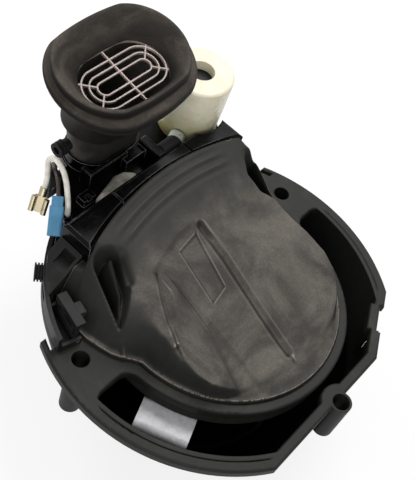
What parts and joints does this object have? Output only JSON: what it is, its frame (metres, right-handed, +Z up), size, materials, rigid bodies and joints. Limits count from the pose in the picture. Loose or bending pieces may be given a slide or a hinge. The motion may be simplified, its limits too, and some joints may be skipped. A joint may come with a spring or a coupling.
{
  "type": "vacuum motor unit",
  "caption": "Vacuum cleaner motor unit: a flanged bowl with a sloping cover, a rubber inlet seal, a bleed valve, a side latch and a motor with its fan inside.",
  "frame": {"origin": "centre of the bowl's flat foot, on the surface that it stands on", "axes": "+Z up along the bowl's axis, +X along the black rail towards the bleed valve, +Y from the cover towards the inlet"},
  "size_m": [0.218, 0.2376, 0.1899],
  "materials": {
    "bowl_plastic": "satin",
    "dark_plastic": "satin",
    "cover_plastic": "dusty matt",
    "black_gloss": "gloss",
    "pale_strip": "satin",
    "neck_plastic": "satin",
    "grille_plastic": "satin",
    "seal_rubber": "matt",
    "black_rubber": "matt",
    "cream_plastic": "satin",
    "clear_plastic": "translucent",
    "white_plastic": "satin",
    "tinned_steel": "tinned",
    "white_insulation": "satin",
    "brown_insulation": "satin",
    "blue_insulation": "satin",
    "bright_steel": "ground",
    "laminated_steel": "satin",
    "copper": "bright",
    "fan_aluminium": "satin",
    "carbon": "matt",
    "brass_part": "satin"
  },
  "bodies": {
    "housing": {"outer_bowl": "bowl_plastic", "motor_bucket": "dark_plastic", "capacitor": "white_plastic", "cover_gasket": "black_rubber", "motor_cover": "cover_plastic", "duct_rail": "black_gloss", "duct_base": "black_gloss", "duct_lid": "black_gloss", "rail_strip": "pale_strip", "rear_housing": "cover_plastic", "latch_pin": "bright_steel", "inlet_neck": "neck_plastic", "inlet_grille": "grille_plastic", "inlet_seal": "seal_rubber", "valve_body": "cream_plastic", "valve_spout": "clear_plastic", "valve_hose": "black_rubber", "valve_seat": "cream_plastic", "valve_spring": "bright_steel", "cable_bracket": "cover_plastic", "cable_grommet": "black_rubber", "vent_stub": "black_rubber", "white_lead": "white_insulation", "flag_terminal": "tinned_steel", "brown_lead": "brown_insulation", "blue_connector": "blue_insulation", "lower_frame": "fan_aluminium", "lower_mount": "black_rubber", "lower_bearing": "bright_steel", "upper_bearing": "bright_steel", "stator_core": "laminated_steel", "upper_frame": "fan_aluminium", "diffuser": "dark_plastic", "fan_shroud": "bright_steel", "upper_mount": "black_rubber", "field_coil_left": "copper", "field_coil_right": "copper", "brush_holder_left": "brass_part", "brush_holder_right": "brass_part", "brush_spring_left": "bright_steel", "brush_spring_right": "bright_steel"},
    "rotor": {"motor_shaft": "bright_steel", "armature_core": "laminated_steel", "armature_winding": "copper", "commutator": "copper", "impeller": "fan_aluminium", "impeller_nut": "bright_steel"},
    "left_brush": {"brush_left": "carbon"},
    "right_brush": {"brush_right": "carbon"},
    "bleed_piston": {"valve_piston": "cream_plastic"},
    "latch": {"side_latch": "cover_plastic"}
  },
  "joints": [
    {"name": "motor_spin", "type": "hinge", "parent": "housing", "child": "rotor", "pos_m": [0.0025, -0.0015, 0.05], "axis": [0, 0, 1], "continuous": true},
    {"name": "brush_left_slide", "type": "slide", "parent": "housing", "child": "left_brush", "axis": [-1, 0, 0], "range_m": [0, 0.003], "stiffness_N_per_m": 120, "springref_m": -0.004, "deforming": ["brush_spring_left"]},
    {"name": "brush_right_slide", "type": "slide", "parent": "housing", "child": "right_brush", "axis": [1, 0, 0], "range_m": [0, 0.003], "stiffness_N_per_m": 120, "springref_m": -0.004, "deforming": ["brush_spring_right"]},
    {"name": "valve_slide", "type": "slide", "parent": "housing", "child": "bleed_piston", "axis": [0, 0, -1], "range_m": [0, 0.008], "stiffness_N_per_m": 150, "springref_m": -0.006, "deforming": ["valve_spring"]},
    {"name": "latch_hinge", "type": "hinge", "parent": "housing", "child": "latch", "pos_m": [-0.0823, 0.0435, 0.0879], "axis": [-0.2588, -0.9659, 0], "range_deg": [0, 18]}
  ]
}
